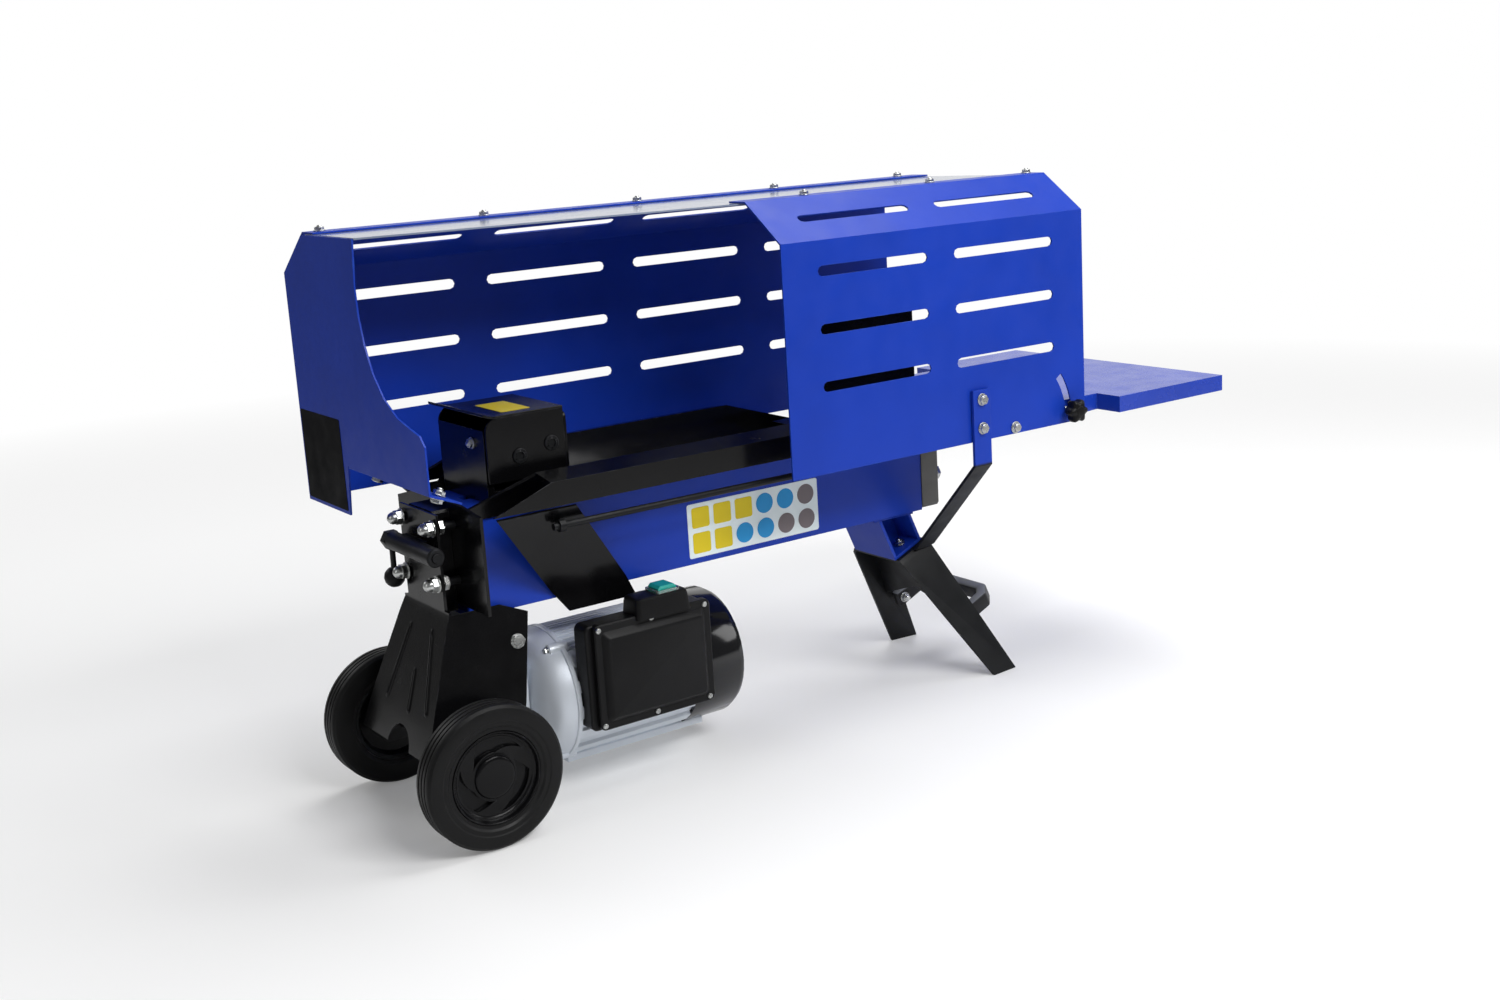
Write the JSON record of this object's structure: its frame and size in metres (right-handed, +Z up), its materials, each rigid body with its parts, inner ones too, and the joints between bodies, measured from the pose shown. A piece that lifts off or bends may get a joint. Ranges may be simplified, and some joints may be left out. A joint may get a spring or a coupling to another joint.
{
  "type": "electric log splitter",
  "caption": "Horizontal hydraulic log splitter on two wheels and a splayed foot, with a slotted guard round the log bed and a tilting outfeed table.",
  "frame": {"origin": "floor level, at the middle of the bounding box", "axes": "+X along the beam from the valve and wheels towards the wedge and table, +Y towards the closed back of the guard, +Z up"},
  "size_m": [1.174, 0.4, 0.653],
  "materials": {
    "axle": "ground",
    "beam": "gloss royal-blue powder coat",
    "brace_far": "satin black powder coat",
    "brace_near": "satin black powder coat",
    "control_lever": "ground",
    "cylinder_tube": "ground",
    "drive_gear": "ground",
    "driven_gear": "ground",
    "end_plate": "machined",
    "fan": "moulded, slightly textured",
    "fan_cover": "moulded, slightly textured",
    "foot": "satin black powder coat",
    "front_cap": "satin black powder coat",
    "front_plate": "satin black powder coat",
    "gland": "machined",
    "guard_back": "gloss royal-blue powder coat",
    "guard_end": "gloss royal-blue powder coat",
    "guard_front": "gloss royal-blue powder coat",
    "guard_top": "gloss grey powder coat",
    "knob": "moulded, slightly textured",
    "leg": "gloss royal-blue powder coat",
    "lever_knob": "moulded, slightly textured",
    "motor_frame": "as cast or extruded",
    "motor_front_shield": "as cast or extruded",
    "motor_rear_shield": "as cast or extruded",
    "piston": "ground",
    "piston_rod": "ground",
    "piston_seal": "moulded",
    "pivot_bolt_far": "bright zinc plate",
    "pivot_bolt_near": "bright zinc plate",
    "pump_body": "as cast or extruded",
    "pump_cover": "as cast or extruded",
    "pusher_block": "satin black powder coat",
    "pusher_cover": "satin black powder coat",
    "rim_far": "moulded, slightly textured",
    "rim_near": "moulded, slightly textured",
    "rod_nut": "bright zinc plate",
    "rotor": "ground",
    "side_rod": "satin black powder coat",
    "start_button": "glossy",
    "stator": "laminated steel with copper windings",
    "strap_bolt_1": "bright zinc plate",
    "strap_bolt_2": "bright zinc plate",
    "strap_far": "gloss royal-blue powder coat",
    "strap_near": "gloss royal-blue powder coat",
    "switch_box": "moulded, slightly textured",
    "table": "gloss royal-blue powder coat",
    "tie_rod_1": "bright zinc plate",
    "tie_rod_2": "bright zinc plate",
    "tie_rod_3": "bright zinc plate",
    "tie_rod_4": "bright zinc plate",
    "tow_handle": "moulded, slightly textured",
    "tray_far": "satin black powder coat",
    "tray_near": "satin black powder coat",
    "tyre_far": "solid rubber",
    "tyre_near": "solid rubber",
    "valve_body": "satin black powder coat",
    "valve_spool": "ground",
    "wedge": "satin black powder coat",
    "wheel_bracket": "satin black powder coat"
  },
  "bodies": {
    "frame": {"axle": "axle", "beam": "beam", "brace_far": "brace_far", "brace_near": "brace_near", "cylinder_tube": "cylinder_tube", "end_plate": "end_plate", "fan_cover": "fan_cover", "foot": "foot", "front_cap": "front_cap", "front_plate": "front_plate", "gland": "gland", "guard_back": "guard_back", "guard_end": "guard_end", "guard_front": "guard_front", "guard_top": "guard_top", "leg": "leg", "motor_frame": "motor_frame", "motor_front_shield": "motor_front_shield", "motor_rear_shield": "motor_rear_shield", "pivot_bolt_far": "pivot_bolt_far", "pivot_bolt_near": "pivot_bolt_near", "pump_body": "pump_body", "pump_cover": "pump_cover", "side_rod": "side_rod", "stator": "stator", "strap_bolt_1": "strap_bolt_1", "strap_bolt_2": "strap_bolt_2", "strap_far": "strap_far", "strap_near": "strap_near", "switch_box": "switch_box", "tie_rod_1": "tie_rod_1", "tie_rod_2": "tie_rod_2", "tie_rod_3": "tie_rod_3", "tie_rod_4": "tie_rod_4", "tow_handle": "tow_handle", "tray_far": "tray_far", "tray_near": "tray_near", "valve_body": "valve_body", "wedge": "wedge", "wheel_bracket": "wheel_bracket"},
    "pusher": {"pusher_block": "pusher_block", "pusher_cover": "pusher_cover", "piston": "piston", "piston_seal": "piston_seal", "piston_rod": "piston_rod", "rod_nut": "rod_nut"},
    "wheel_near": {"tyre_near": "tyre_near", "rim_near": "rim_near"},
    "wheel_far": {"tyre_far": "tyre_far", "rim_far": "rim_far"},
    "table": {"table": "table"},
    "clamp_knob": {"knob": "knob"},
    "lever": {"valve_spool": "valve_spool", "control_lever": "control_lever", "lever_knob": "lever_knob"},
    "button": {"start_button": "start_button"},
    "motor_shaft": {"rotor": "rotor", "fan": "fan", "drive_gear": "drive_gear"},
    "pump_idler": {"driven_gear": "driven_gear"}
  },
  "joints": [
    {"name": "pusher_slide", "type": "slide", "parent": "frame", "child": "pusher", "axis": [1, 0, 0], "range_m": [0, 0.265]},
    {"name": "wheel_near_spin", "type": "hinge", "parent": "frame", "child": "wheel_near", "pos_m": [-0.507, -0.128, 0.08], "axis": [0, 1, 0], "continuous": true},
    {"name": "wheel_far_spin", "type": "hinge", "parent": "frame", "child": "wheel_far", "pos_m": [-0.507, 0.128, 0.08], "axis": [0, 1, 0], "continuous": true},
    {"name": "table_tilt", "type": "hinge", "parent": "frame", "child": "table", "pos_m": [0.231, 0, 0.345], "axis": [0, -1, 0], "range_deg": [0, 26]},
    {"name": "clamp_knob_turn", "type": "hinge", "parent": "table", "child": "clamp_knob", "pos_m": [0.32564, -0.172, 0.35328], "axis": [0, 1, 0], "range_deg": [-180, 180]},
    {"name": "control_lever_turn", "type": "hinge", "parent": "frame", "child": "lever", "pos_m": [-0.521, 0, 0.311], "axis": [0, 1, 0], "range_deg": [0, 30]},
    {"name": "start_button_press", "type": "slide", "parent": "frame", "child": "button", "axis": [0, 0, -1], "range_m": [0, 0.003]},
    {"name": "motor_shaft_spin", "type": "hinge", "parent": "frame", "child": "motor_shaft", "pos_m": [-0.507, 0, 0.105], "axis": [1, 0, 0], "continuous": true},
    {"name": "pump_idler_spin", "type": "hinge", "parent": "frame", "child": "pump_idler", "pos_m": [-0.507, 0, 0.1312], "axis": [1, 0, 0], "continuous": true}
  ],
  "couplings": [
    {"joint": "pump_idler_spin", "follows": "motor_shaft_spin", "ratio": -1}
  ]
}
